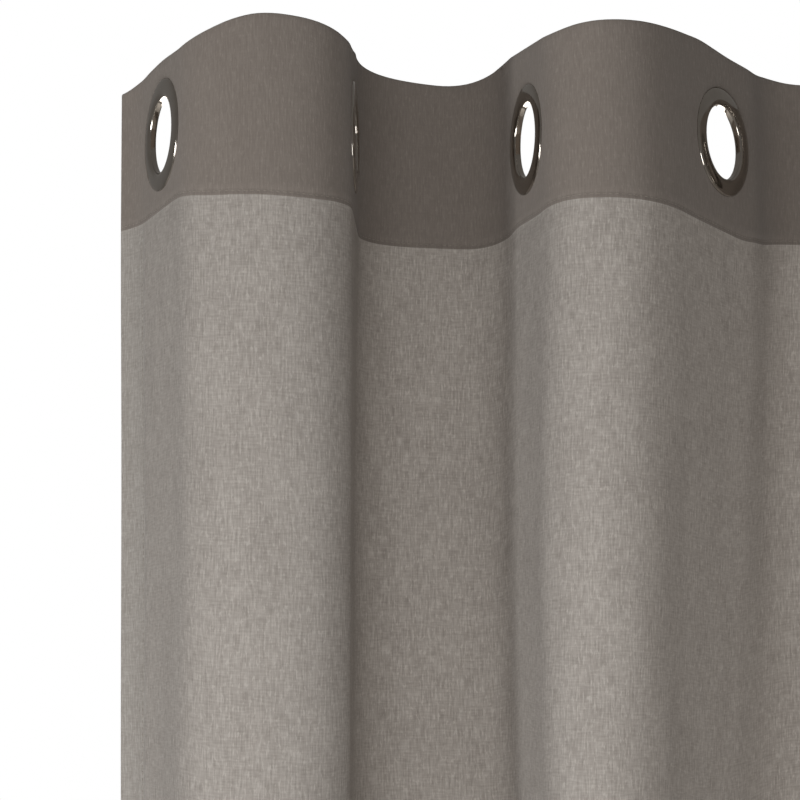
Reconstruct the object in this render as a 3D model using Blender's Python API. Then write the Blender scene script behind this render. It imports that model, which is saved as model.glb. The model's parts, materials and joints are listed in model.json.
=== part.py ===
"""Eyelet curtain panel: one length of cloth gathered in folds along a rod, with its header, hems and eyelets.

Metres, +Z up, +X along the rod, +Y towards the wall. The origin lies on the rod's axis at the first eyelet.
The cloth is divided into leaves, one to each eyelet, that hinge where the cloth folds. Each leaf is divided
at the header's seam, and the header is three layers: front cloth, stiffener and turned-over cloth.
"""

import math

import bmesh
import bpy
import numpy as np
from mathutils import Vector

# Cloth, laid flat
panelWidth = 1.400
panelDrop = 2.400
clothThickness = 0.0005
headerHeight = 0.096
bottomHemHeight = 0.100
eyeletCount = 8
edgeToEyelet = 0.0595

# Header make-up
stiffenerThickness = 0.0004
stiffenerSetBack = 0.0020
hemLayers = 2
layerGap = 0.0003
foldGap = 0.0009
foldTrim = 0.0014

# Eyelets, and the rod that they are made for
rodRadius = 0.008
rodClearance = 0.0005
eyeletInnerRadius = 0.021
eyeletOuterRadius = 0.031
barrelWall = 0.0008
flangeHeight = 0.0017
flangeEdge = 0.0006
washerHeight = 0.0012
washerEdge = 0.0005
ringGap = 0.0003
clampMargin = 0.0010
ringSides = 20

# How the panel is gathered at rest: each fold's width along the rod as a share of its flat width,
# and the angle between cloth and rod at each eyelet
foldGather = (0.577, 0.527, 0.609, 0.572, 0.585, 0.541, 0.574)
eyeletAngles = (72.3, 83.1, 82.7, 49.1, 75.2, 70.0, 77.0, 63.0)
sideEdgeTurn = 21.0
leafSteps = 8
lineStep = 0.0005

eyeletPitch = (panelWidth - 2 * edgeToEyelet) / (eyeletCount - 1)
clampHalf = eyeletOuterRadius + clampMargin
eyeletZ = rodRadius + rodClearance - eyeletInnerRadius
topZ = eyeletZ + headerHeight / 2
headerZ = topZ - headerHeight
bottomZ = topZ - panelDrop
bottomHemZ = bottomZ + bottomHemHeight
frontFace = -clothThickness / 2
backFace = clothThickness / 2

materials = {
    "cloth": ((0.30, 0.27, 0.24), 0.92, 0.0),
    "header_cloth": ((0.20, 0.18, 0.16), 0.92, 0.0),
    "stiffener": ((0.80, 0.79, 0.76), 0.85, 0.0),
    "dark_nickel": ((0.16, 0.15, 0.15), 0.22, 1.0),
}


def clear_scene():
    for old in list(bpy.data.objects):
        bpy.data.objects.remove(old, do_unlink=True)


def make_material(name):
    colour, roughness, metallic = materials[name]
    material = bpy.data.materials.new(name)
    material.use_nodes = True
    shader = material.node_tree.nodes["Principled BSDF"]
    shader.inputs["Base Color"].default_value = (*colour, 1.0)
    shader.inputs["Roughness"].default_value = roughness
    shader.inputs["Metallic"].default_value = metallic
    return material


# The line that the cloth draws on a plan, as arc length, x, y and heading


def bend_headings(start, end, lean, spread, count):
    u = (np.arange(count) + 0.5) / count
    swing = (start + end) / 2 + (start - end) / 2 * np.cos(math.pi * u)
    return swing + lean * np.sin(math.pi * u) + spread * np.sin(2 * math.pi * u)


def bend_ends(start, end, shape, length, count):
    headings = bend_headings(start, end, *shape, count)
    return length / count * np.array((np.cos(headings).sum(), np.sin(headings).sum()))


def bend_shape(start, end, reach, length, count):
    """Lean and spread of a bend of this length that arrives at reach, by Newton's method."""
    shape = np.array((0.0, 0.5 * math.copysign(1.0, end - start)))
    nudge = 1e-5
    for _ in range(30):
        miss = bend_ends(start, end, shape, length, count) - reach
        slopes = [
            (bend_ends(start, end, shape + nudge * step, length, count) - reach - miss) / nudge
            for step in np.eye(2)
        ]
        shape = shape - np.linalg.solve(np.array(slopes).T, miss)
    return shape


def eyelet_heading(index):
    """Odd eyelets lead the cloth to the front of the rod, even ones to the back."""
    side = -1.0 if index % 2 == 0 else 1.0
    return side * math.radians(eyeletAngles[index])


def fold_widths():
    return [gather * eyeletPitch for gather in foldGather]


def eyelet_places():
    return [sum(fold_widths()[:index]) for index in range(eyeletCount)]


def panel_line():
    """The whole panel's plan line, from its outer edge to its inner one."""
    first, last = eyelet_heading(0), eyelet_heading(eyeletCount - 1)
    tail = edgeToEyelet - clampHalf
    tailCount = round(tail / lineStep)
    turn = np.radians(sideEdgeTurn) * (np.arange(tailCount) + 0.5) / tailCount
    outer = [first + angle for angle in turn[::-1]]
    inner = [last - angle for angle in turn]
    headings = [*outer]
    lengths = [tail / tailCount] * tailCount
    bendLength = eyeletPitch - 2 * clampHalf
    bendCount = round(bendLength / lineStep)
    for index, width in enumerate(fold_widths()):
        start, end = eyelet_heading(index), eyelet_heading(index + 1)
        clamps = clampHalf * np.array(
            (math.cos(start) + math.cos(end), math.sin(start) + math.sin(end))
        )
        reach = np.array((width, 0.0)) - clamps
        shape = bend_shape(start, end, reach, bendLength, bendCount)
        headings += [start] * (2 if index == 0 else 1)
        lengths += [clampHalf] * (2 if index == 0 else 1)
        headings += list(bend_headings(start, end, *shape, bendCount))
        lengths += [bendLength / bendCount] * bendCount
        headings += [end]
        lengths += [clampHalf]
    headings += [last, *inner]
    lengths += [clampHalf] + [tail / tailCount] * tailCount
    headings, lengths = np.array(headings), np.array(lengths)
    moves = lengths[:, None] * np.stack((np.cos(headings), np.sin(headings)), axis=1)
    points = np.vstack((np.zeros(2), np.cumsum(moves, axis=0)))
    points -= points[tailCount + 1]
    along = np.concatenate(((0.0,), np.cumsum(lengths))) - edgeToEyelet
    middles = (along[:-1] + along[1:]) / 2
    return {"along": along, "points": points, "middles": middles, "headings": headings}


def at(line, along):
    """Point and heading of the cloth at an arc length from the first eyelet."""
    x = np.interp(along, line["along"], line["points"][:, 0])
    y = np.interp(along, line["along"], line["points"][:, 1])
    heading = np.interp(along, line["middles"], line["headings"])
    return np.array((x, y)), heading


def fold_alongs(line):
    """Arc length of each fold: where the cloth passes midway between two eyelets."""
    places, found = eyelet_places(), []
    for index in range(eyeletCount - 1):
        middle = (places[index] + places[index + 1]) / 2
        tries = np.linspace(index + 0.25, index + 0.75, 2001) * eyeletPitch
        gaps = [abs(at(line, along)[0][0] - middle) for along in tries]
        found.append(float(tries[int(np.argmin(gaps))]))
    return found


def leaf_stops(line, index, trim):
    """Arc lengths along one leaf, from fold to fold, with a straight run past its eyelet."""
    folds, centre = fold_alongs(line), index * eyeletPitch
    low, high = centre - clampHalf, centre + clampHalf
    left = [low] if index == 0 else list(np.linspace(folds[index - 1] + trim, low, leafSteps + 1))
    lastLeaf = index == eyeletCount - 1
    right = [high] if lastLeaf else list(np.linspace(high, folds[index] - trim, leafSteps + 1))
    return left + right


# Solids


def place(obj, axis, material):
    obj.data.materials.append(material)
    obj.parent = axis
    bpy.context.scene.collection.objects.link(obj)


def mesh_object(name, shape):
    bmesh.ops.recalc_face_normals(shape, faces=shape.faces)
    mesh = bpy.data.meshes.new(name)
    shape.to_mesh(mesh)
    shape.free()
    return bpy.data.objects.new(name, mesh)


def strip(name, line, stops, faces, levels, origin):
    """An upright strip of cloth: a thin closed solid that follows the plan line between two faces."""
    shape = bmesh.new()
    rows = []
    for along in stops:
        point, heading = at(line, along)
        normal = np.array((-math.sin(heading), math.cos(heading)))
        row = []
        for face in faces:
            corner = point + face * normal - np.array(origin)
            row.append([shape.verts.new((*corner, level)) for level in levels])
        rows.append(row)
    for here, there in zip(rows, rows[1:]):
        for low in range(len(levels) - 1):
            for side in (0, 1):
                corners = (here[side][low], there[side][low], there[side][low + 1], here[side][low + 1])
                shape.faces.new(corners)
        for level in (0, len(levels) - 1):
            shape.faces.new((here[0][level], here[1][level], there[1][level], there[0][level]))
    for row in (rows[0], rows[-1]):
        for low in range(len(levels) - 1):
            shape.faces.new((row[0][low], row[0][low + 1], row[1][low + 1], row[1][low]))
    return mesh_object(name, shape)


def eyelet_turn(index):
    """Rotation that takes a ring turned about +Z, front down, onto its eyelet's axis."""
    heading = eyelet_heading(index)
    normal = Vector((-math.sin(heading), math.cos(heading), 0.0))
    return normal.to_track_quat("Z", "Y").to_matrix().to_4x4()


def turned_ring(name, profile, index):
    """A closed ring, turned from a profile of radius and height round the eyelet's axis."""
    shape = bmesh.new()
    loops = []
    for side in range(ringSides):
        angle = 2 * math.pi * side / ringSides
        spoke = [(r * math.cos(angle), r * math.sin(angle), h) for r, h in profile]
        loops.append([shape.verts.new(point) for point in spoke])
    for side, loop in enumerate(loops):
        following = loops[(side + 1) % ringSides]
        for k in range(len(profile)):
            after = (k + 1) % len(profile)
            shape.faces.new((loop[k], loop[after], following[after], following[k]))
    bmesh.ops.transform(shape, matrix=eyelet_turn(index), verts=shape.verts)
    obj = mesh_object(name, shape)
    obj.location = (0.0, 0.0, eyeletZ)
    obj.data.shade_smooth()
    obj.data.set_sharp_from_angle(angle=math.radians(40))
    return obj


def hole_cutter(index):
    """The hole punched for an eyelet's barrel, through every layer of the header."""
    shape = bmesh.new()
    bmesh.ops.create_cone(
        shape,
        cap_ends=True,
        segments=ringSides,
        radius1=eyeletInnerRadius + barrelWall + ringGap,
        radius2=eyeletInnerRadius + barrelWall + ringGap,
        depth=2 * eyeletOuterRadius,
        matrix=eyelet_turn(index),
    )
    cutter = mesh_object(f"eyelet_hole_{index + 1}", shape)
    cutter.location = (0.0, 0.0, eyeletZ)
    cutter.hide_render = True
    cutter.display_type = "WIRE"
    return cutter


def cut(obj, cutter):
    modifier = obj.modifiers.new("eyelet hole", "BOOLEAN")
    modifier.operation = "DIFFERENCE"
    modifier.solver = "EXACT"
    modifier.object = cutter


def header_faces():
    """Front and back faces of the header's stiffener and of the cloth turned over it."""
    stiffenerFront = backFace + layerGap
    stiffenerBack = stiffenerFront + stiffenerThickness
    turnedFront = stiffenerBack + layerGap
    return (stiffenerFront, stiffenerBack), (turnedFront, turnedFront + clothThickness)


def front_ring_profile(headerBack):
    """Flange in front of the cloth and barrel through it, as far as the back ring's outer face."""
    seat = frontFace - ringGap
    crown = seat - flangeHeight
    end = headerBack + ringGap + washerHeight
    bore, barrel, rim = eyeletInnerRadius, eyeletInnerRadius + barrelWall, eyeletOuterRadius
    width = rim - bore
    return (
        (bore, end),
        (bore, crown + 0.3 * flangeHeight),
        (bore + 0.10 * width, crown),
        (bore + 0.45 * width, crown + 0.05 * flangeHeight),
        (bore + 0.80 * width, crown + 0.30 * flangeHeight),
        (rim, seat - flangeEdge),
        (rim, seat),
        (barrel, seat),
        (barrel, end),
    )


def back_ring_profile(headerBack):
    """The washer behind the header that the barrel snaps into."""
    seat = headerBack + ringGap
    hole = eyeletInnerRadius + barrelWall + ringGap
    return (
        (hole, seat + washerHeight),
        (hole, seat),
        (eyeletOuterRadius, seat),
        (eyeletOuterRadius, seat + washerEdge),
        (eyeletOuterRadius - 2 * washerEdge, seat + washerHeight),
    )


def leaf_origins(line):
    """Where each leaf hinges: the first on its eyelet's centre line, the rest on the fold before them."""
    folds = [at(line, along)[0] for along in fold_alongs(line)]
    return [np.zeros(2)] + folds


def leaf_axes(line):
    """An empty on each leaf's axis, each parented to the one before, so that turning one turns the rest."""
    axes, before = [], None
    for index, origin in enumerate(leaf_origins(line)):
        axis = bpy.data.objects.new(f"leaf_axis_{index + 1}", None)
        axis.empty_display_size = eyeletOuterRadius
        last = leaf_origins(line)[index - 1] if index else np.zeros(2)
        axis.location = (*(origin - last), 0.0)
        axis.parent = before
        bpy.context.scene.collection.objects.link(axis)
        axes.append(axis)
        before = axis
    return axes


def leaf_cloth(line, index, origin):
    """One leaf of the panel's cloth below the header."""
    stops = leaf_stops(line, index, foldGap / 2)
    levels = (bottomZ, bottomHemZ, headerZ - layerGap)
    return strip(f"cloth_leaf_{index + 1}", line, stops, (frontFace, backFace), levels, origin)


def leaf_header(line, index, origin, cutter):
    """One leaf's header: its front cloth, the stiffener and the cloth turned over it."""
    stiffenerFaces, turnedFaces = header_faces()
    front = strip(
        f"header_front_{index + 1}",
        line,
        leaf_stops(line, index, foldGap / 2),
        (frontFace, backFace),
        (headerZ, topZ),
        origin,
    )
    stops = leaf_stops(line, index, foldTrim)
    stiffener = strip(
        f"header_stiffener_{index + 1}",
        line,
        stops,
        stiffenerFaces,
        (headerZ + stiffenerSetBack, topZ - stiffenerSetBack),
        origin,
    )
    turned = strip(
        f"header_fold_{index + 1}", line, stops, turnedFaces, (headerZ, topZ), origin
    )
    for layer in (front, stiffener, turned):
        cut(layer, cutter)
    return front, stiffener, turned


def leaf_bottom_hem(line, index, origin):
    """The turned-up cloth behind one leaf's lower edge."""
    front = backFace + layerGap
    return strip(
        f"bottom_hem_{index + 1}",
        line,
        leaf_stops(line, index, foldTrim),
        (front, front + clothThickness),
        (bottomZ, bottomHemZ),
        origin,
    )


def side_hem(name, line, low, high, origin):
    """The turned cloth along one upright edge."""
    back = backFace + hemLayers * clothThickness
    stops = np.linspace(low, high, 4)
    return strip(name, line, stops, (frontFace, back), (bottomZ, headerZ, topZ), origin)


def eyelet_rings(index):
    headerBack = header_faces()[1][1]
    front = turned_ring(
        f"eyelet_front_ring_{index + 1}", front_ring_profile(headerBack), index
    )
    back = turned_ring(
        f"eyelet_back_ring_{index + 1}", back_ring_profile(headerBack), index
    )
    return front, back


def build():
    clear_scene()
    look = {name: make_material(name) for name in materials}
    line = panel_line()
    origins, axes = leaf_origins(line), leaf_axes(line)
    places = eyelet_places()
    outer = side_hem("outer_side_hem", line, -edgeToEyelet, -clampHalf - foldGap, (0.0, 0.0))
    place(outer, None, look["cloth"])
    for index, (origin, axis) in enumerate(zip(origins, axes)):
        cutter = hole_cutter(index)
        leaf = leaf_cloth(line, index, origin)
        front, stiffener, turned = leaf_header(line, index, origin, cutter)
        hem = leaf_bottom_hem(line, index, origin)
        place(leaf, axis, look["cloth"])
        place(stiffener, axis, look["stiffener"])
        for piece in (front, turned, hem):
            place(piece, axis, look["header_cloth"])
        for piece in (*eyelet_rings(index), cutter):
            piece.location.x = places[index] - origin[0]
            piece.location.y = -origin[1]
            place(piece, axis, look["dark_nickel"])
    lastEyelet = (eyeletCount - 1) * eyeletPitch
    inner = side_hem(
        "inner_side_hem",
        line,
        lastEyelet + clampHalf + layerGap,
        lastEyelet + edgeToEyelet,
        origins[-1],
    )
    place(inner, axes[-1], look["cloth"])


build()
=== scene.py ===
import json
import math

import bmesh
import bpy
import numpy as np
from mathutils import Matrix, Vector

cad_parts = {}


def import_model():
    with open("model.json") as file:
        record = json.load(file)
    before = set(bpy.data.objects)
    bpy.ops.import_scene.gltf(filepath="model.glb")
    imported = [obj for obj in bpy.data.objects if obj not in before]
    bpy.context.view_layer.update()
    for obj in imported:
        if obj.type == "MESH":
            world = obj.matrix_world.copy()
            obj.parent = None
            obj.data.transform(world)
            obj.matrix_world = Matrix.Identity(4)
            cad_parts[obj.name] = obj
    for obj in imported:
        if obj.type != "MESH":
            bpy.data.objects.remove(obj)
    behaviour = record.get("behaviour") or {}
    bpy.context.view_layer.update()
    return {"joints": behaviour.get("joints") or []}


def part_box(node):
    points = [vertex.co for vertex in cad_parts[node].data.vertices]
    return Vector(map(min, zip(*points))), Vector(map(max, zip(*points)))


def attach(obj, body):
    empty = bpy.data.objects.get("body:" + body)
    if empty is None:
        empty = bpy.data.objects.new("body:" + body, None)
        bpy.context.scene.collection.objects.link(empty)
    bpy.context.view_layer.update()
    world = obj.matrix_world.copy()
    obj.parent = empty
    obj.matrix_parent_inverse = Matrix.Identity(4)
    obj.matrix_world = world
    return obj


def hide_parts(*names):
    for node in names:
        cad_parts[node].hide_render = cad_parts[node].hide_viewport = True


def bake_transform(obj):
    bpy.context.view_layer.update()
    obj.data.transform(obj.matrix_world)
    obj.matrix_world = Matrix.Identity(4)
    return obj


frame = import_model()
print("frame loaded")

joints = {joint["name"]: joint for joint in frame["joints"]}
foldNames = [name for name in joints if name.startswith("fold_")]
leafCount = len(foldNames) + 1

eyeletXs = [joints["draw"]["pos_m"][0]]
for name in foldNames:  # each fold lies midway between its two eyelets
    eyeletXs.append(2 * joints[name]["pos_m"][0] - eyeletXs[-1])
eyeletZ = joints["draw"]["pos_m"][2]
seamZ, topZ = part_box("header_front_1")[0][2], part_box("header_front_1")[1][2]
bottomZ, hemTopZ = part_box("bottom_hem_1")[0][2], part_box("bottom_hem_1")[1][2]

panel = {
    "flatPitch": 0.183,  # cloth from one eyelet to the next, laid flat
    "edgeToEyelet": 0.0595,
    "straight": 0.032,  # half of the flat stretch that each eyelet clamps
    "angles": (72.3, 83.1, 82.7, 49.1, 75.2, 70.0, 77.0, 63.0),  # cloth to rod at each eyelet
    "edgeTurn": 28.0,
    "thickness": 0.00042,
    "headerDepth": 0.0011,  # front cloth to turned-over cloth, round the stiffener
    "hemDepth": 0.0008,
    "sideHem": 0.025,
}

drape = {
    "lean": (0.003, -0.006, -0.006, -0.024, 0.002, 0.008, -0.003, -0.004),  # sideways, by eyelet
    "sway": (0.002, -0.003, 0.003, -0.004, 0.004, -0.003, 0.004, 0.000),
    "above": 0.01,  # where the drape sets in, over the seam
    "settle": 0.20,  # drop in which the folds reach their lean
    "onset": 1.5,
    "wander": 0.0030,
    "wanderDrop": 1.45,  # drop of one full swing
    "wanderStart": 0.31,
    "sideSwing": (2.4, 0.7),  # radians from eyelet to eyelet, and at the first
    "deepSwing": (1.7, 0.3),
    "bulge": 0.0015,  # folds round out below the stiff header
    "slack": 0.04,
    "dimple": 0.0007,
    "dimples": ((11, 5.0, 0.0), (2.3, 9.0, 0.0)),  # radians per eyelet, per metre, at the start
    "ripple": (17, -14, 1.0),
    "rippleShare": 0.6,
}

topStray = (  # how far the top edge strays from level: mm along the cloth, mm up
    (-60, -11), (-50, -8), (-30, -6), (0, -6), (36, -9), (54, -6), (77, 1), (90, 2.5),
    (116, -0.5), (145, -7), (173, -1), (190, 3), (213, 9), (245, 4.5), (290, -0.5), (308, 2),
    (328, 9), (366, 4), (400, -0.5), (413, -2), (436, 0.5), (485, 2), (524, 5.5), (560, 3),
    (592, 2.5), (625, 8), (652, 6), (700, 1), (780, -3), (830, 2), (900, 5), (960, -4),
    (1040, 3), (1110, -2), (1190, 4), (1250, -3), (1340, -6),
)
seamStray = (  # and the header's seam
    (30, 6), (45, 4), (60, 1.5), (90, 0.5), (110, -1), (229, 0), (277, -0.5), (305, -2.5),
    (345, 2.5), (390, 0), (420, 1), (500, -1.5), (530, -3), (572, -5), (602, -1.5), (630, 4),
    (650, 5), (700, 0),
)
strayEasing = 0.004
lineStep = 0.0005


def srgb(hexCode):
    parts = [int(hexCode[k:k + 2], 16) / 255 for k in (1, 3, 5)]
    return [c / 12.92 if c <= 0.04045 else ((c + 0.055) / 1.055) ** 2.4 for c in parts] + [1.0]


def newObject(name, data):
    obj = bpy.data.objects.new(name, data)
    bpy.context.scene.collection.objects.link(obj)
    return obj


def addNode(tree, kind, settings=None, **links):
    node = tree.nodes.new(kind)
    for key, value in (settings or {}).items():
        if isinstance(key, str) and hasattr(node, key):
            setattr(node, key, value)
        else:
            node.inputs[key].default_value = value
    for key, source in links.items():  # in0, in1 ... name a socket by its place
        place = int(key[2:]) if key[:2] == "in" and key[2:].isdigit() else key.replace("_", " ")
        tree.links.new(source, node.inputs[place])
    return node


def bendHeadings(start, end, lean, spread, count):
    u = (np.arange(count) + 0.5) / count
    swing = (start + end) / 2 + (start - end) / 2 * np.cos(math.pi * u)
    return swing + lean * np.sin(math.pi * u) + spread * np.sin(2 * math.pi * u)


def bendEnd(start, end, shape, length, count):
    headings = bendHeadings(start, end, *shape, count)
    return length / count * np.array((np.cos(headings).sum(), np.sin(headings).sum()))


def bendShape(start, end, reach, length, count):
    shape = np.array((0.0, 0.5 * math.copysign(1.0, end - start)))
    nudge = 1e-5
    for _ in range(30):  # Newton's method
        miss = bendEnd(start, end, shape, length, count) - reach
        slopes = [
            (bendEnd(start, end, shape + nudge * step, length, count) - reach - miss) / nudge
            for step in np.eye(2)
        ]
        shape = shape - np.linalg.solve(np.array(slopes).T, miss)
    return shape


def eyeletHeading(index):
    return (-1.0 if index % 2 == 0 else 1.0) * math.radians(panel["angles"][index])


def planLine():
    straight = panel["straight"]
    tail = panel["edgeToEyelet"] - straight
    tailCount = round(tail / lineStep)
    turn = np.radians(panel["edgeTurn"]) * (np.arange(tailCount) + 0.5) / tailCount
    bendLength = panel["flatPitch"] - 2 * straight
    bendCount = round(bendLength / lineStep)
    headings = [eyeletHeading(0) + angle for angle in turn[::-1]]
    lengths = [tail / tailCount] * tailCount
    for index in range(leafCount):
        heading = eyeletHeading(index)
        headings += [heading, heading]
        lengths += [straight, straight]
        if index == leafCount - 1:
            break
        after = eyeletHeading(index + 1)
        clamped = straight * np.array(
            (math.cos(heading) + math.cos(after), math.sin(heading) + math.sin(after))
        )
        reach = np.array((eyeletXs[index + 1] - eyeletXs[index], 0.0)) - clamped
        shape = bendShape(heading, after, reach, bendLength, bendCount)
        headings += list(bendHeadings(heading, after, *shape, bendCount))
        lengths += [bendLength / bendCount] * bendCount
    headings += [eyeletHeading(leafCount - 1) - angle for angle in turn]
    lengths += [tail / tailCount] * tailCount
    headings, lengths = np.array(headings), np.array(lengths)
    moves = lengths[:, None] * np.stack((np.cos(headings), np.sin(headings)), axis=1)
    points = np.vstack((np.zeros(2), np.cumsum(moves, axis=0)))
    points += np.array((eyeletXs[0], 0.0)) - points[tailCount + 1]
    along = np.concatenate(((0.0,), np.cumsum(lengths))) - panel["edgeToEyelet"]
    return along, points, (along[:-1] + along[1:]) / 2, headings


along, planPoints, headingAlongs, planHeadings = planLine()
leftEdge, rightEdge = along[0], along[-1]


def smooth(t):
    t = np.clip(t, 0.0, 1.0)
    return t * t * (3 - 2 * t)


def eased(values, place):  # from one value to the next, level at each
    values = np.array(values)
    place = np.clip(place, 0, len(values) - 1)
    low = np.minimum(np.floor(place).astype(int), len(values) - 2)
    share = smooth(place - low)
    return values[low] * (1 - share) + values[low + 1] * share


def strayed(stops, s):  # straight from stop to stop, with the corners eased
    places, rises = np.array(stops).T / 1000
    easing = strayEasing * np.arange(-2, 3)
    return np.mean([np.interp(s + shift, places, rises) for shift in easing], axis=0)


def seamHeight(s):
    return seamZ + strayed(seamStray, s)


def topHeight(s):
    return topZ + strayed(topStray, s)


def wave(rates, leaf, drop):
    return np.sin(rates[0] * leaf + rates[1] * drop + rates[2])


def clothPoint(s, z, behind=0.0):  # s along the cloth, z up, behind its front layer
    s, z, behind = np.broadcast_arrays(np.asarray(s, float), np.asarray(z, float), behind)
    x = np.interp(s, along, planPoints[:, 0])
    y = np.interp(s, along, planPoints[:, 1])
    heading = np.interp(s, headingAlongs, planHeadings)
    drop = np.clip(seamZ + drape["above"] - z, 0.0, None)
    hang = 1 - np.exp(-((drop / drape["settle"]) ** drape["onset"]))
    leaf = s / panel["flatPitch"]
    swing = np.sin(2 * math.pi * (drop / drape["wanderDrop"] + drape["wanderStart"]))
    sweep = drape["wander"] * swing
    inside = (leaf > 0) & (leaf < leafCount - 1)
    bulge = np.where(inside, drape["bulge"] * np.sin(2 * math.pi * leaf), 0)
    rate, start = drape["sideSwing"]
    x = x + hang * (eased(drape["lean"], leaf) - bulge + sweep * np.sin(rate * leaf + start))
    y = y * (1 - drape["slack"] * hang)
    rate, start = drape["deepSwing"]
    y = y + hang * (eased(drape["sway"], leaf) + sweep * np.cos(rate * leaf + start))
    swell = wave(drape["dimples"][0], leaf, drop) * wave(drape["dimples"][1], leaf, drop)
    swell = swell + drape["rippleShare"] * wave(drape["ripple"], leaf, drop)
    behind = behind + drape["dimple"] * hang * swell
    return np.stack((x - behind * np.sin(heading), y + behind * np.cos(heading), z), axis=-1)


def mixed(tree, dark, light, share):
    sockets = {"data_type": "RGBA", 6: dark, 7: light}
    return addNode(tree, "ShaderNodeMix", sockets, in0=share).outputs[2]


def surface(name):
    material = bpy.data.materials.new(name)
    material.use_nodes = True
    tree = material.node_tree
    tree.nodes.clear()
    return material, tree


weave = {  # mm along the rod and mm up, for one streak of each pattern
    "warp": (0.95, 9),
    "weft": (7, 1.0),
    "cloud": (16, 45),
    "slub": (1.2, 4),
    "weftShare": 0.6,
    "cloudShare": 0.25,
}


def streaks(tree, uv, pattern):
    across, up = weave[pattern]
    scale = {"Scale": (1000 / across, 1000 / up, 1)}
    mapped = addNode(tree, "ShaderNodeMapping", scale, Vector=uv)
    noise = {"Scale": 1.0, "Detail": 2.0, "Roughness": 0.55, "noise_dimensions": "2D"}
    return addNode(tree, "ShaderNodeTexNoise", noise, Vector=mapped.outputs[0]).outputs[0]


def ranged(tree, value, low, high, least=0.0, most=1.0):
    ends = {"From Min": low, "From Max": high, "To Min": least, "To Max": most}
    return addNode(tree, "ShaderNodeMapRange", ends, Value=value).outputs[0]


def multiplyAdd(tree, value, factor, extra):
    settings = {"operation": "MULTIPLY_ADD", 1: factor}
    return addNode(tree, "ShaderNodeMath", settings, in0=value, in2=extra).outputs[0]


def wovenLinenLook(name, light, dark, glow, weft=1.0):  # dry, matt cloth of slubby yarn
    material, tree = surface(name)
    uv = addNode(tree, "ShaderNodeUVMap", {"uv_map": "cloth"}).outputs["UV"]
    weftShare = weave["weftShare"] * weft
    threads = multiplyAdd(tree, streaks(tree, uv, "weft"), weftShare, streaks(tree, uv, "warp"))
    slubs = ranged(tree, streaks(tree, uv, "slub"), 0.58, 0.72, 0.0, 0.42)
    mottled = addNode(tree, "ShaderNodeMath", {"operation": "ADD"}, in0=threads, in1=slubs)
    mottled = mottled.outputs[0]
    shaded = multiplyAdd(tree, streaks(tree, uv, "cloud"), weave["cloudShare"], mottled)
    share = ranged(tree, shaded, 0.60, 1.30)
    throughColour = mixed(tree, dark, light, share)
    faceShare = ranged(tree, share, 0.0, 1.0, 0.10, 0.80)
    faceColour = mixed(tree, dark, light, faceShare)  # varies less than the light let through
    bump = addNode(
        tree, "ShaderNodeBump", {"Strength": 0.35, "Distance": 0.0003}, Height=mottled
    ).outputs[0]
    finish = {
        "Roughness": 0.92, "Specular IOR Level": 0.25, "Sheen Weight": 0.12, "Sheen Roughness": 0.6
    }
    shader = addNode(
        tree, "ShaderNodeBsdfPrincipled", finish, Base_Color=faceColour, Normal=bump
    ).outputs[0]
    through = addNode(
        tree, "ShaderNodeBsdfTranslucent", Color=throughColour, Normal=bump
    ).outputs[0]
    mix = addNode(tree, "ShaderNodeMixShader", {0: glow}, in1=shader, in2=through)
    addNode(tree, "ShaderNodeOutputMaterial", Surface=mix.outputs[0])
    return material


def plainShader(tree, settings, **links):
    shader = addNode(tree, "ShaderNodeBsdfPrincipled", settings, **links)
    addNode(tree, "ShaderNodeOutputMaterial", Surface=shader.outputs[0])


def darkNickelPlate():  # polished, with sharp reflections
    material, tree = surface("black nickel-plated steel")
    place = addNode(tree, "ShaderNodeTexCoord").outputs["Object"]
    wear = addNode(tree, "ShaderNodeTexNoise", {"Scale": 160.0, "Detail": 4.0}, Vector=place)
    wear = wear.outputs[0]
    rough = ranged(tree, wear, 0.35, 0.7, 0.06, 0.16)
    colour = mixed(tree, srgb("#99938c"), srgb("#aea8a0"), wear)
    plainShader(tree, {"Metallic": 1.0}, Base_Color=colour, Roughness=rough)
    return material


def nonWovenStiffener():  # felt-like, its fibres lying at random
    material, tree = surface("non-woven polyester stiffener")
    place = addNode(tree, "ShaderNodeTexCoord").outputs["Object"]
    lie = {"Scale": 700.0, "Detail": 5.0, "Distortion": 1.5}
    fibres = addNode(tree, "ShaderNodeTexNoise", lie, Vector=place).outputs[0]
    colour = mixed(tree, srgb("#cfccc4"), srgb("#e9e7e1"), fibres)
    bump = addNode(
        tree, "ShaderNodeBump", {"Strength": 0.4, "Distance": 0.0003}, Height=fibres
    ).outputs[0]
    plainShader(tree, {"Roughness": 0.85}, Base_Color=colour, Normal=bump)
    return material


def spunPolyesterThread():  # close to the header's colour
    material, tree = surface("spun polyester thread")
    place = addNode(tree, "ShaderNodeTexCoord").outputs["Object"]
    plies = addNode(tree, "ShaderNodeTexNoise", {"Scale": 2200.0, "Detail": 1.0}, Vector=place)
    colour = mixed(tree, srgb("#7f776d"), srgb("#a1998e"), plies.outputs[0])
    plainShader(tree, {"Roughness": 0.7, "Sheen Weight": 0.2}, Base_Color=colour)
    return material


singleCloth = wovenLinenLook(
    "linen-look polyester, one layer", srgb("#d7d3ce"), srgb("#a9a29c"), 0.42
)
# the body's cloth a shade darker: painted shade for the light that two layers let through less
hemClothPaintedShade = wovenLinenLook(
    "linen-look polyester, two layers, painted shade", srgb("#cdc9c3"), srgb("#a09891"), 0.24
)
# the body's cloth in darker colours: painted shade for the light that the stiffened header lets
# through less
headerClothPaintedShade = wovenLinenLook(
    "linen-look polyester on stiffener, painted shade", srgb("#958d85"), srgb("#7f766f"), 0.05, 0.5
)
blackNickel = darkNickelPlate()
stiffenerFelt = nonWovenStiffener()
threadFinish = spunPolyesterThread()
print("materials made")

clothGrid = {
    "alongStep": 0.0036,
    "bodyStep": 0.012,
    "headerStep": 0.0034,
    "holeRadius": 0.0255,
    "creaseAngle": 60,
}


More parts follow.
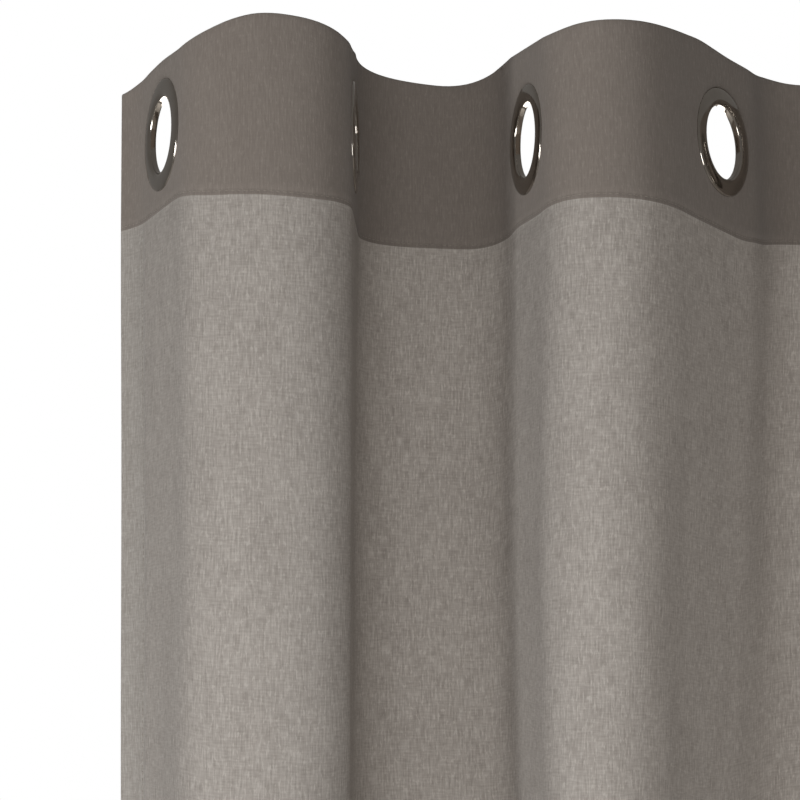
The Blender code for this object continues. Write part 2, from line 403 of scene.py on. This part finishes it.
def columnStops(low, high):
    count = max(2, round((high - low) / clothGrid["alongStep"]))
    return np.linspace(low, high, count + 1)


def headerShares():
    count = round((topZ - seamZ) / clothGrid["headerStep"])
    return np.linspace(0, 1, count + 1)


def gridMesh(name, points, uvs, slots, keep):  # keep says which faces stay
    rowCount, columnCount = points.shape[:2]
    mesh = bpy.data.meshes.new(name)
    index = np.arange(rowCount * columnCount).reshape(rowCount, columnCount)
    quads = np.stack((index[:-1, :-1], index[:-1, 1:], index[1:, 1:], index[1:, :-1]), axis=-1)
    faces = quads[keep]
    mesh.from_pydata(points.reshape(-1, 3).tolist(), [], faces.tolist())
    layer = mesh.uv_layers.new(name="cloth")
    corners = np.zeros(len(mesh.loops), dtype=np.int64)
    mesh.loops.foreach_get("vertex_index", corners)
    layer.data.foreach_set("uv", uvs.reshape(-1, 2)[corners].ravel())
    mesh.polygons.foreach_set("material_index", slots[keep].astype(np.int32))
    mesh.polygons.foreach_set("use_smooth", np.ones(len(mesh.polygons), dtype=bool))
    obj = newObject(name, mesh)
    shape = bmesh.new()
    shape.from_mesh(mesh)
    loose = [vert for vert in shape.verts if not vert.link_faces]
    bmesh.ops.delete(shape, geom=loose, context="VERTS")
    shape.to_mesh(mesh)
    shape.free()
    return obj


def solidify(obj, thickness):
    modifier = obj.modifiers.new("cloth thickness", "SOLIDIFY")
    modifier.thickness = thickness
    modifier.offset = 0.0
    graph = bpy.context.evaluated_depsgraph_get()
    mesh = bpy.data.meshes.new_from_object(obj.evaluated_get(graph))
    obj.modifiers.clear()
    obj.data = mesh
    mesh.set_sharp_from_angle(angle=math.radians(clothGrid["creaseAngle"]))
    return obj


def aroundHoles(s, points):  # which faces of a grid stay clear of the eyelets' holes
    middleS = (s[:-1] + s[1:]) / 2
    middleZ = (points[:-1, :-1, 2] + points[1:, 1:, 2]) / 2
    nearest = np.clip(np.round(middleS / panel["flatPitch"]), 0, leafCount - 1)
    nearest = nearest * panel["flatPitch"]
    reach = np.hypot((middleS - nearest)[None, :], middleZ - eyeletZ)
    return reach > clothGrid["holeRadius"]


bottomHem = {
    "rows": 9,
    "close": 0.35,  # how far its free edge is drawn in, of the gap behind
    "closeFrom": 0.9,
    "closeOver": 0.1,
    "turn": (45, 90, 135),
}
header = {
    "turn": (30, 60, 90, 120, 150),
    "pinch": 0.0006,  # the seam pulls the turned cloth forward
    "groove": (  # up from the seam, and into the cloth
        (-0.0030, 0.0),
        (-0.0012, 0.00008),
        (0.0, -0.00012),
        (0.0010, -0.00025),
        (0.0022, 0.00030),
        (0.0036, -0.00010),
    ),
}


def clothSheet(name, stops):  # turned up behind at the bottom, over the stiffener at the top
    hemDepth, headerDepth = panel["hemDepth"], panel["headerDepth"]
    hemHeight = hemTopZ - bottomZ
    rows, flats, slots, s = [], [], [], np.asarray(stops)
    seam, top = seamHeight(s), topHeight(s)

    def add(z, behind, flat, slot):
        rows.append(clothPoint(s, z, behind))
        flats.append(flat)
        slots.append(slot)

    for share in np.linspace(1, 0, bottomHem["rows"] + 1):
        drawn = smooth((share - bottomHem["closeFrom"]) / bottomHem["closeOver"])
        close = bottomHem["close"] * hemDepth * drawn
        add(bottomZ + share * hemHeight, hemDepth - close, bottomZ - share * hemHeight, 1)
    for angle in np.radians(bottomHem["turn"]):
        behind = hemDepth / 2 * (1 + math.cos(angle))
        add(bottomZ - hemDepth / 2 * math.sin(angle), behind, bottomZ, 1)
    for share in np.linspace(0, 1, bottomHem["rows"] + 1):
        z = bottomZ + share * hemHeight
        add(z, 0.0, z, 1 if share < 1 else 0)
    bodyCount = round((seamZ - hemTopZ) / clothGrid["bodyStep"])
    for k in range(1, bodyCount):
        share = k / bodyCount
        lower = bottomZ + hemHeight
        add(lower + share * (seam - lower), 0.0, hemTopZ + share * (seamZ - hemTopZ), 0)
    groove = header["groove"]
    for rise, dent in groove:
        add(seam + rise, dent, seamZ + rise, 2 if rise >= 0 else 0)
    start = groove[-1][0]
    shares = headerShares()[1:]
    low = seam + start
    for share in shares:
        add(low + share * (top - low), 0.0, seamZ + start + share * (topZ - seamZ - start), 2)
    for angle in np.radians(header["turn"]):
        behind = headerDepth / 2 * (1 - math.cos(angle))
        add(top + headerDepth / 2 * math.sin(angle), behind, topZ, 2)
    for share in shares[::-1]:
        flat = 2 * topZ - (seamZ + start + share * (topZ - seamZ - start))
        add(low + share * (top - low), headerDepth, flat, 2)
    for rise, dent in groove[::-1][1:4]:
        behind = headerDepth - header["pinch"] * (1 - rise / start) + dent
        add(seam + rise, behind, 2 * topZ - seamZ - rise, 2)
    points = np.array(rows)
    uvs = np.zeros((*points.shape[:2], 2))
    uvs[..., 0] = s[None, :]
    uvs[..., 1] = np.array(flats)[:, None]
    faceSlots = np.repeat(np.array(slots[:-1])[:, None], len(s) - 1, axis=1)
    middleS = (s[:-1] + s[1:]) / 2
    besideEdge = np.minimum(middleS - leftEdge, rightEdge - middleS) < panel["sideHem"]
    faceSlots = np.where(besideEdge[None, :] & (faceSlots == 0), 1, faceSlots)
    obj = gridMesh(name, points, uvs, faceSlots, aroundHoles(s, points))
    # slots 1 and 2, the hems and the header, take darker copies of the cloth: painted shade
    for material in (singleCloth, hemClothPaintedShade, headerClothPaintedShade):
        obj.data.materials.append(material)
    return solidify(obj, panel["thickness"])


stiffening = {"from": 0.04, "to": 0.985, "rows": 26, "thickness": 0.0004, "inset": 0.004}


def stiffenerSheet(name, stops):
    s = np.asarray(stops)
    seam, top = seamHeight(s), topHeight(s)
    shares = np.linspace(stiffening["from"], stiffening["to"], stiffening["rows"])
    middle = panel["headerDepth"] / 2
    rows = [clothPoint(s, seam + share * (top - seam), middle) for share in shares]
    points = np.array(rows)
    uvs = np.zeros((*points.shape[:2], 2))
    uvs[..., 0] = s[None, :]
    uvs[..., 1] = shares[:, None] * (topZ - seamZ)
    keep = aroundHoles(s, points)
    obj = gridMesh(name, points, uvs, np.zeros(keep.shape, dtype=int), keep)
    obj.data.materials.append(stiffenerFelt)
    return solidify(obj, stiffening["thickness"])


sideStrip = {
    "turnStops": 7,
    "widthStops": 8,
    "bodyRows": 150,
    "headerRows": 16,
    "liftFrom": 0.9985,  # where it rises on to the header, of the height up to the seam
    "liftOver": 0.006,
    "clear": 0.0006,
    "ahead": 0.002,
    "turnStep": 0.0005,
    "turnWidth": 0.003,
}


def sideHemStrip(name, edge, inward):  # cloth turned back along an upright edge
    turns = np.radians(np.linspace(0, 180, sideStrip["turnStops"]))
    flatStops = np.linspace(0.0, panel["sideHem"], sideStrip["widthStops"])[1:]
    bodyHeights = np.linspace(0, 1, sideStrip["bodyRows"])[:-1]
    headerHeights = 1 + np.linspace(0, 1, sideStrip["headerRows"])
    seam, top = seamHeight(edge), topHeight(edge)
    rows, flats = [], []
    for height in np.concatenate((bodyHeights, headerHeights)):
        if height <= 1:
            z = bottomZ + height * (seam - bottomZ)
        else:
            z = seam + (height - 1) * (top - seam)
        lift = smooth((height - sideStrip["liftFrom"]) / sideStrip["liftOver"])
        radius = panel["hemDepth"] / 2 + lift * (panel["headerDepth"] - panel["hemDepth"]) / 2
        extra = sideStrip["clear"] * lift
        columns = [clothPoint(edge, z, radius * (1 - math.cos(turn))) for turn in turns]
        for k, turn in enumerate(turns):  # round the edge itself
            inner = clothPoint(edge + inward * sideStrip["ahead"], z)
            ahead = clothPoint(edge, z) - inner
            columns[k] = columns[k] + radius * math.sin(turn) * ahead / np.linalg.norm(ahead)
        for stop in flatStops:
            columns.append(clothPoint(edge + inward * stop, z, 2 * radius + extra))
        rows.append(np.array(columns))
        flats.append(z)
    points = np.array(rows)
    uvs = np.zeros((*points.shape[:2], 2))
    turnWidths = sideStrip["turnStep"] * np.arange(len(turns))
    widths = np.concatenate((turnWidths, sideStrip["turnWidth"] + flatStops))
    uvs[..., 0] = (edge - inward * widths)[None, :]
    uvs[..., 1] = np.array(flats)[:, None]
    keep = np.ones((points.shape[0] - 1, points.shape[1] - 1), dtype=bool)
    obj = gridMesh(name, points, uvs, np.zeros(keep.shape, dtype=int), keep)
    obj.data.materials.append(singleCloth)
    return solidify(obj, panel["thickness"])


eyelet = {
    "bore": 0.0210,
    "barrel": 0.0217,
    "rim": 0.0310,
    "seat": -0.00024,  # the front flange bears on the cloth
    "height": 0.0017,
    "ledge": 0.0007,
    "roll": 0.0030,  # the lip that rolls into the bore
    "backSeat": 0.00134,
    "washer": 0.0011,
    "edge": 0.0004,  # flat rim of the front ring; the back ring is this much smaller
    "mouth": ((0.0005, 0.0), (0.0001, 0.0005), (0.0, 0.0010)),  # outward, and back from the end
    "flare": 0.0004,  # how far the barrel's end spreads over the back ring
    "flareRise": 0.0006,
    "proud": 0.0003,
    "play": 0.0002,
    "bead": 0.0006,
    "sides": 96,
    "creaseAngle": 50,
}


def arc(centre, across, out, start, end, count):
    angles = np.radians(np.linspace(start, end, count))
    return [(centre[0] + across * math.cos(a), centre[1] + out * math.sin(a)) for a in angles]


def frontProfile():
    bore, rim, seat = eyelet["bore"], eyelet["rim"], eyelet["seat"]
    high, ledge, roll = eyelet["height"], eyelet["ledge"], eyelet["roll"]
    end = eyelet["backSeat"] + eyelet["washer"] + eyelet["proud"]
    slope = rim - eyelet["edge"] - bore - roll
    profile = [(bore + out, end - back) for out, back in eyelet["mouth"]]
    profile += arc((bore + roll, seat), roll, high, 180, 262, 12)
    profile += arc((bore + roll, seat - ledge), slope, high - ledge, 272, 356, 14)
    profile += [(rim, seat - 0.6 * ledge), (rim, seat)]
    barrel, flare = eyelet["barrel"], eyelet["flare"]
    return profile + [(barrel, seat), (barrel, end - eyelet["flareRise"]), (barrel + flare, end)]


def backProfile():
    hole, rim = eyelet["barrel"] + eyelet["play"], eyelet["rim"] - eyelet["edge"]
    seat, out = eyelet["backSeat"], eyelet["backSeat"] + eyelet["washer"]
    bead = eyelet["bead"]
    profile = [(hole, out - 0.0002), (hole, seat), (rim, seat)]
    profile += arc((rim - bead, out - bead), bead, bead, 0, 90, 6)
    return profile + [(hole + 0.0022, out), (hole + 0.0014, out - 0.0002)]


def turnedRing(name, profile, index):
    heading = eyeletHeading(index)
    normal = Vector((-math.sin(heading), math.cos(heading), 0.0))
    across = Vector((math.cos(heading), math.sin(heading), 0.0))
    centre = Vector((eyeletXs[index], 0.0, eyeletZ))
    shape = bmesh.new()
    loops = []
    for side in range(eyelet["sides"]):
        angle = 2 * math.pi * side / eyelet["sides"]
        spoke = math.cos(angle) * across + math.sin(angle) * Vector((0, 0, 1))
        places = [centre + radius * spoke + depth * normal for radius, depth in profile]
        loops.append([shape.verts.new(point) for point in places])
    for side, loop in enumerate(loops):
        following = loops[(side + 1) % len(loops)]
        for k in range(len(profile)):
            after = (k + 1) % len(profile)
            shape.faces.new((loop[k], loop[after], following[after], following[k]))
    bmesh.ops.recalc_face_normals(shape, faces=shape.faces)
    mesh = bpy.data.meshes.new(name)
    shape.to_mesh(mesh)
    shape.free()
    mesh.shade_smooth()
    mesh.set_sharp_from_angle(angle=math.radians(eyelet["creaseAngle"]))
    mesh.materials.append(blackNickel)
    return newObject(name, mesh)


stitching = {
    "pitch": 0.0034,
    "length": 0.0024,
    "radius": 0.00022,
    "seed": 7,
    "least": 0.85,  # each stitch's share of the full size
    "most": 1.1,
    "beadSides": 6,
    "beadRings": 4,
}


def stitchTree():
    tree = bpy.data.node_groups.new("stitches along a seam", "GeometryNodeTree")
    sizes = (("Pitch", "pitch"), ("Length", "length"), ("Radius", "radius"))
    tree.interface.new_socket("Geometry", in_out="INPUT", socket_type="NodeSocketGeometry")
    for label, key in sizes:
        socket = tree.interface.new_socket(label, in_out="INPUT", socket_type="NodeSocketFloat")
        socket.default_value = stitching[key]
    tree.interface.new_socket("Geometry", in_out="OUTPUT", socket_type="NodeSocketGeometry")
    given = addNode(tree, "NodeGroupInput")
    seam = addNode(tree, "GeometryNodeMeshToCurve", Mesh=given.outputs["Geometry"])
    points = addNode(
        tree,
        "GeometryNodeCurveToPoints",
        {"mode": "LENGTH"},
        Curve=seam.outputs[0],
        Length=given.outputs["Pitch"],
    )
    halving = {"operation": "MULTIPLY", 1: 0.5}
    half = addNode(tree, "ShaderNodeMath", halving, in0=given.outputs["Length"])
    size = addNode(
        tree,
        "ShaderNodeCombineXYZ",
        X=given.outputs["Radius"],
        Y=given.outputs["Radius"],
        Z=half.outputs[0],
    )
    vary = addNode(
        tree, "FunctionNodeRandomValue", {"data_type": "FLOAT", "Seed": stitching["seed"]}
    )
    vary.inputs[2].default_value = stitching["least"]
    vary.inputs[3].default_value = stitching["most"]
    scaled = addNode(
        tree,
        "ShaderNodeVectorMath",
        {"operation": "SCALE"},
        in0=size.outputs[0],
        Scale=vary.outputs[1],
    )
    ball = {"Segments": stitching["beadSides"], "Rings": stitching["beadRings"], "Radius": 1.0}
    bead = addNode(tree, "GeometryNodeMeshUVSphere", ball)
    placed = addNode(
        tree,
        "GeometryNodeInstanceOnPoints",
        Points=points.outputs[0],
        Instance=bead.outputs[0],
        Rotation=points.outputs["Rotation"],
        Scale=scaled.outputs[0],
    )
    real = addNode(tree, "GeometryNodeRealizeInstances", Geometry=placed.outputs[0])
    thread = {"Material": threadFinish}
    finish = addNode(tree, "GeometryNodeSetMaterial", thread, Geometry=real.outputs[0])
    tree.links.new(finish.outputs[0], addNode(tree, "NodeGroupOutput").inputs[0])
    return tree


seamTree = stitchTree()


def stitchRow(name, paths):
    points, edges = [], []
    for path in paths:
        first = len(points)
        points += path.tolist()
        edges += [(first + k, first + k + 1) for k in range(len(path) - 1)]
    mesh = bpy.data.meshes.new(name)
    mesh.from_pydata(points, edges, [])
    obj = newObject(name, mesh)
    modifier = obj.modifiers.new("stitches", "NODES")
    modifier.node_group = seamTree
    for item in seamTree.interface.items_tree:
        if item.in_out == "INPUT" and item.name.lower() in stitching:
            modifier[item.identifier] = stitching[item.name.lower()]
    graph = bpy.context.evaluated_depsgraph_get()
    plain = bpy.data.meshes.new_from_object(obj.evaluated_get(graph))
    obj.modifiers.clear()
    obj.data = plain
    plain.polygons.foreach_set("use_smooth", np.ones(len(plain.polygons), dtype=bool))
    return obj


sheetEnds = [leftEdge] + [index * panel["flatPitch"] for index in range(leafCount)] + [rightEdge]
pieceNames = ["outer_end"] + [f"fold_{index}" for index in range(1, leafCount)] + ["inner_end"]
bending = {"past": 0.001, "inset": 0.002, "leastHalf": 0.012}  # where a stretch bends


def sheetBodies(k):  # what a stretch of cloth bends between, and from where to where
    margin = panel["straight"] + bending["past"]
    if k == 0:
        start, end = clothPoint(leftEdge, 0.0), clothPoint(-margin, 0.0)
        return "outer_side", "leaf_1", start, end
    if k == leafCount:
        return (f"leaf_{leafCount}",)
    low, high = (k - 1) * panel["flatPitch"], k * panel["flatPitch"]
    start = clothPoint(low + margin, 0.0)[0] + bending["inset"]
    end = clothPoint(high - margin, 0.0)[0] - bending["inset"]
    middle, leastHalf = (start + end) / 2, bending["leastHalf"]
    start, end = min(start, middle - leastHalf), max(end, middle + leastHalf)
    return f"leaf_{k}", f"leaf_{k + 1}", (start, 0.0, 0.0), (end, 0.0, 0.0)


def carry(obj, k):
    bodies = sheetBodies(k)
    if len(bodies) == 1:
        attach(obj, bodies[0])
    else:
        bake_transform(obj)


sewing = {
    "short": 0.0008,  # a path stops short of its cloth's ends
    "stops": 120,
    "sideStops": 400,
    "off": 0.00024,  # a stitch's middle, from the middle of its cloth
    "aboveSeam": 0.0022,
    "sunk": 0.0003,
    "inHem": 0.004,
    "belowSeam": 0.002,
    "inSideHem": 0.003,
}


def seamPaths(low, high):
    s = np.linspace(low + sewing["short"], high - sewing["short"], sewing["stops"])
    front, back = -sewing["off"], sewing["off"]
    seam, hem = seamHeight(s) + sewing["aboveSeam"], hemTopZ - sewing["inHem"]
    paths = [
        clothPoint(s, seam, sewing["sunk"] + front),
        clothPoint(s, seam, panel["headerDepth"] - sewing["sunk"] + back),
        clothPoint(s, hem, front),
        clothPoint(s, hem, panel["hemDepth"] + back),
    ]
    sideTop = seamZ - sewing["belowSeam"]
    heights = np.linspace(bottomZ + sewing["inHem"], sideTop, sewing["sideStops"])
    inset = panel["sideHem"] - sewing["inSideHem"]
    for edge, inward in ((leftEdge, 1), (rightEdge, -1)):
        at = edge + inward * inset
        if low <= at <= high:
            paths.append(clothPoint(at, heights, front))
            paths.append(clothPoint(at, heights, panel["hemDepth"] + back))
    return paths


def assemble():
    for index in range(leafCount):
        number = index + 1
        front = turnedRing(f"eyelet_front_{number}", frontProfile(), index)
        back = turnedRing(f"eyelet_back_{number}", backProfile(), index)
        for piece, node in ((front, "front"), (back, "back")):
            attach(piece, f"leaf_{number}")
            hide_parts(f"eyelet_{node}_ring_{number}")
    print("eyelets made")
    for k, name in enumerate(pieceNames):
        low, high = sheetEnds[k], sheetEnds[k + 1]
        stops = columnStops(low, high)
        cloth = clothSheet(f"cloth_{name}", stops)
        innerLow = max(low, leftEdge + stiffening["inset"])
        innerHigh = min(high, rightEdge - stiffening["inset"])
        stiffener = stiffenerSheet(f"stiffener_{name}", columnStops(innerLow, innerHigh))
        stitches = stitchRow(f"stitches_{name}", seamPaths(low, high))
        extras = []
        if k in (0, leafCount):
            edge, inward, side = (leftEdge, 1, "outer") if k == 0 else (rightEdge, -1, "inner")
            strip = sideHemStrip(f"{side}_side_hem_strip", edge, inward)
            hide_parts(f"{side}_side_hem")
            extras.append(strip)
        for piece in (cloth, stiffener, stitches, *extras):
            carry(piece, k)
        if k < leafCount:
            number = k + 1
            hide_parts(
                f"cloth_leaf_{number}",
                f"header_front_{number}",
                f"header_fold_{number}",
                f"bottom_hem_{number}",
            )
            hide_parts(f"header_stiffener_{number}")
    print("cloth made")


assemble()

room = {
    "floorGap": 0.015,  # from the hem down to the floor
    "floorHalf": 2.6,
    "floorMiddle": 0.37,
    "floorColour": "#f3f2ef",
    "skyColour": (1.0, 0.955, 0.905, 1),
    "skyStrength": 0.20,
}


def floorPlane():
    mesh = bpy.data.meshes.new("floor")
    z, half = bottomZ - room["floorGap"], room["floorHalf"]
    left, right = -half + room["floorMiddle"], half + room["floorMiddle"]
    corners = [(left, -half, z), (right, -half, z), (right, half, z), (left, half, z)]
    mesh.from_pydata(corners, [], [(0, 1, 2, 3)])
    material, tree = surface("pale matt floor")
    plainShader(tree, {"Base Color": srgb(room["floorColour"]), "Roughness": 0.7})
    mesh.materials.append(material)
    newObject("floor", mesh)


lights = {
    "front": {
        "place": (-0.10, -1.58, -1.35),
        "aim": (0.3, 0.0, -0.2),
        "size": (0.8, 0.8),
        "power": 17.4,
    },
    "side": {
        "place": (-1.34, -1.15, -0.9),
        "aim": (0.3, 0.0, -0.2),
        "size": (0.25, 0.8),
        "power": 15,
    },
    "window side": {
        "place": (0.5, 2.3, -1.0),
        "aim": (0.4, 0.0, -0.6),
        "size": (1.6, 1.8),
        "power": 52,
        "colour": (1, 0.95, 0.90),
    },
}


def softLight(name, place, aim, size, power, colour=(1, 1, 1)):
    light = bpy.data.lights.new(name, "AREA")
    light.shape = "RECTANGLE"
    light.size, light.size_y = size
    light.energy = power
    light.color = colour
    obj = newObject(name, light)
    obj.location = place
    obj.rotation_euler = (Vector(aim) - Vector(place)).to_track_quat("-Z", "Y").to_euler()


def world():
    scene = bpy.context.scene
    scene.view_settings.view_transform = "Standard"
    scene.world = bpy.data.worlds.new("studio")
    scene.world.use_nodes = True
    tree = scene.world.node_tree
    tree.nodes.clear()
    rays = addNode(tree, "ShaderNodeLightPath")
    seen = addNode(tree, "ShaderNodeBackground", {"Color": (1, 1, 1, 1), "Strength": 1.0})
    glow = {"Color": room["skyColour"], "Strength": room["skyStrength"]}
    lit = addNode(tree, "ShaderNodeBackground", glow)
    mix = addNode(
        tree,
        "ShaderNodeMixShader",
        in0=rays.outputs["Is Camera Ray"],
        in1=lit.outputs[0],
        in2=seen.outputs[0],
    )
    addNode(tree, "ShaderNodeOutputWorld", Surface=mix.outputs[0])


view = {
    "place": (0.0237, -1.1224),
    "underEyelets": 0.3072,
    "turn": -5.38,
    "tilt": 8.10,
    "roll": -0.68,
    "lens": 94.03,
    "sensor": 36.0,
}


def camera():
    data = bpy.data.cameras.new("camera")
    data.sensor_width = view["sensor"]
    data.lens = view["lens"]
    obj = newObject("camera", data)
    obj.location = (*view["place"], eyeletZ - view["underEyelets"])
    turn = Matrix.Rotation(math.radians(view["turn"]), 3, "Z")
    tilt = Matrix.Rotation(math.radians(90 + view["tilt"]), 3, "X")
    roll = Matrix.Rotation(math.radians(view["roll"]), 3, "Z")
    obj.rotation_euler = (turn @ tilt @ roll).to_euler()
    bpy.context.scene.camera = obj


floorPlane()
for name, settings in lights.items():
    softLight(name, **settings)
world()
camera()
print("room made")
